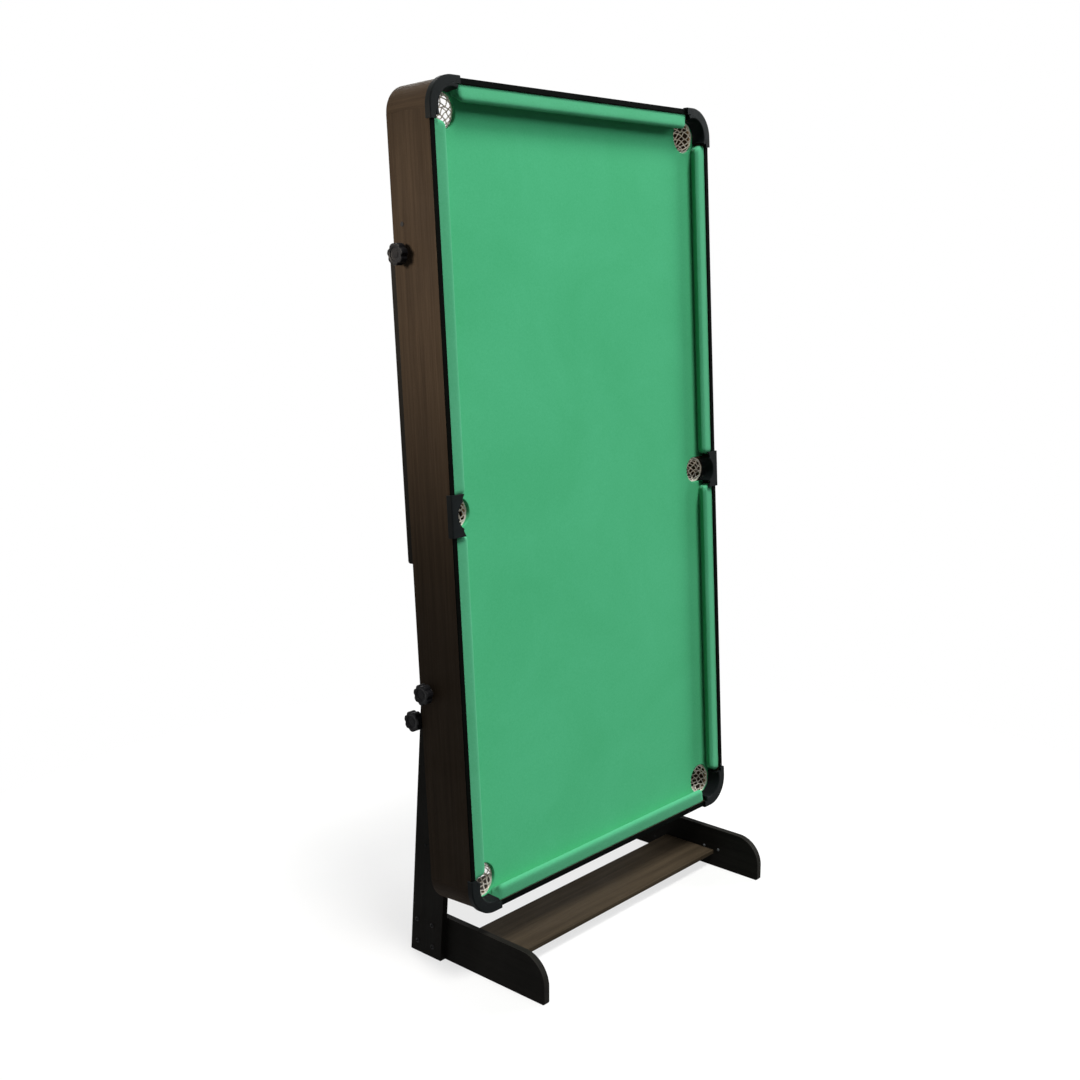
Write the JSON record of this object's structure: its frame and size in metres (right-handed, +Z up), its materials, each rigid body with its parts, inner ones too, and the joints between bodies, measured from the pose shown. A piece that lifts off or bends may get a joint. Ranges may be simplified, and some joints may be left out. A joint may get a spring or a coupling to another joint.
{
  "type": "folding game table",
  "caption": "Pool table whose cloth-covered bed with net pockets tilts upright on a low post stand for storage, with folding end legs and hand knobs that lock it.",
  "frame": {"origin": "on the floor, in the middle of the box that holds the folded table and its stand", "axes": "+X to the right seen from the playing side, -Y out of the cloth towards the viewer, +Z up"},
  "size_m": [1.0306, 0.419, 2.0047],
  "materials": {
    "apron_laminate": "dark brown satin laminate with a faint grain",
    "stand_laminate": "very dark brown satin laminate",
    "bed_fibreboard": "raw fibreboard, matt",
    "pine": "planed pine, unfinished",
    "green_cloth": "napped woven cloth",
    "black_plastic": "moulded, satin",
    "knob_plastic": "moulded, semi-gloss",
    "net_string": "knotted white string",
    "black_steel": "black enamel",
    "zinc_steel": "zinc plated"
  },
  "bodies": {
    "stand": {"left_post": "stand_laminate", "right_post": "stand_laminate", "left_foot": "stand_laminate", "right_foot": "stand_laminate", "cross_beam": "stand_laminate", "beam_dowels": "pine", "stand_bolts": "black_steel", "foot_screws": "black_steel", "post_bushes": "zinc_steel", "pivot_bolts": "zinc_steel"},
    "end_legs": {"left_end_leg": "stand_laminate", "right_end_leg": "stand_laminate", "stretcher": "stand_laminate", "stretcher_screws": "zinc_steel", "end_leg_bolts": "zinc_steel"},
    "left_pivot_hand_knob": {"left_pivot_knob": "knob_plastic"},
    "left_leg_hand_knob": {"left_leg_knob": "knob_plastic"},
    "left_lock": {"left_lock_knob": "knob_plastic", "left_lock_stud": "zinc_steel"},
    "right_pivot_hand_knob": {"right_pivot_knob": "knob_plastic"},
    "right_leg_hand_knob": {"right_leg_knob": "knob_plastic"},
    "right_lock": {"right_lock_knob": "knob_plastic", "right_lock_stud": "zinc_steel"},
    "table_top": {"bed_board": "bed_fibreboard", "bed_cloth": "green_cloth", "left_apron": "apron_laminate", "right_apron": "apron_laminate", "top_apron": "apron_laminate", "bottom_apron": "apron_laminate", "top_left_moulding": "apron_laminate", "top_right_moulding": "apron_laminate", "bottom_left_moulding": "apron_laminate", "bottom_right_moulding": "apron_laminate", "rim_edging": "black_plastic", "top_cushion": "green_cloth", "bottom_cushion": "green_cloth", "upper_left_cushion": "green_cloth", "lower_left_cushion": "green_cloth", "upper_right_cushion": "green_cloth", "lower_right_cushion": "green_cloth", "top_left_casting": "black_plastic", "top_right_casting": "black_plastic", "bottom_left_casting": "black_plastic", "bottom_right_casting": "black_plastic", "middle_left_casting": "black_plastic", "middle_right_casting": "black_plastic", "top_left_net": "net_string", "top_right_net": "net_string", "bottom_left_net": "net_string", "bottom_right_net": "net_string", "middle_left_net": "net_string", "middle_right_net": "net_string", "cross_battens": "pine", "hinge_bearers": "pine", "left_hinge_plate": "black_steel", "right_hinge_plate": "black_steel", "hinge_screws": "zinc_steel", "pivot_spacers": "pine", "leg_stop_pins": "zinc_steel"}
  },
  "joints": [
    {"name": "table_tilt", "type": "hinge", "parent": "stand", "child": "table_top", "pos_m": [0, 0.08717, 0.677], "axis": [-1, 0, 0], "range_deg": [0, 86.83]},
    {"name": "end_legs_swing", "type": "hinge", "parent": "table_top", "child": "end_legs", "pos_m": [0, 0.14052, 1.6404], "axis": [1, 0, 0], "range_deg": [0, 90]},
    {"name": "left_lock_slide", "type": "slide", "parent": "stand", "child": "left_lock", "axis": [1, 0, 0], "range_m": [0, 0.02]},
    {"name": "right_lock_slide", "type": "slide", "parent": "stand", "child": "right_lock", "axis": [-1, 0, 0], "range_m": [0, 0.02]},
    {"name": "left_pivot_knob_turn", "type": "hinge", "parent": "stand", "child": "left_pivot_hand_knob", "pos_m": [-0.4903, 0.08717, 0.677], "axis": [1, 0, 0], "continuous": true},
    {"name": "left_leg_knob_turn", "type": "hinge", "parent": "end_legs", "child": "left_leg_hand_knob", "pos_m": [-0.4903, 0.14052, 1.6404], "axis": [1, 0, 0], "continuous": true},
    {"name": "right_pivot_knob_turn", "type": "hinge", "parent": "stand", "child": "right_pivot_hand_knob", "pos_m": [0.4903, 0.08717, 0.677], "axis": [1, 0, 0], "continuous": true},
    {"name": "right_leg_knob_turn", "type": "hinge", "parent": "end_legs", "child": "right_leg_hand_knob", "pos_m": [0.4903, 0.14052, 1.6404], "axis": [1, 0, 0], "continuous": true}
  ]
}
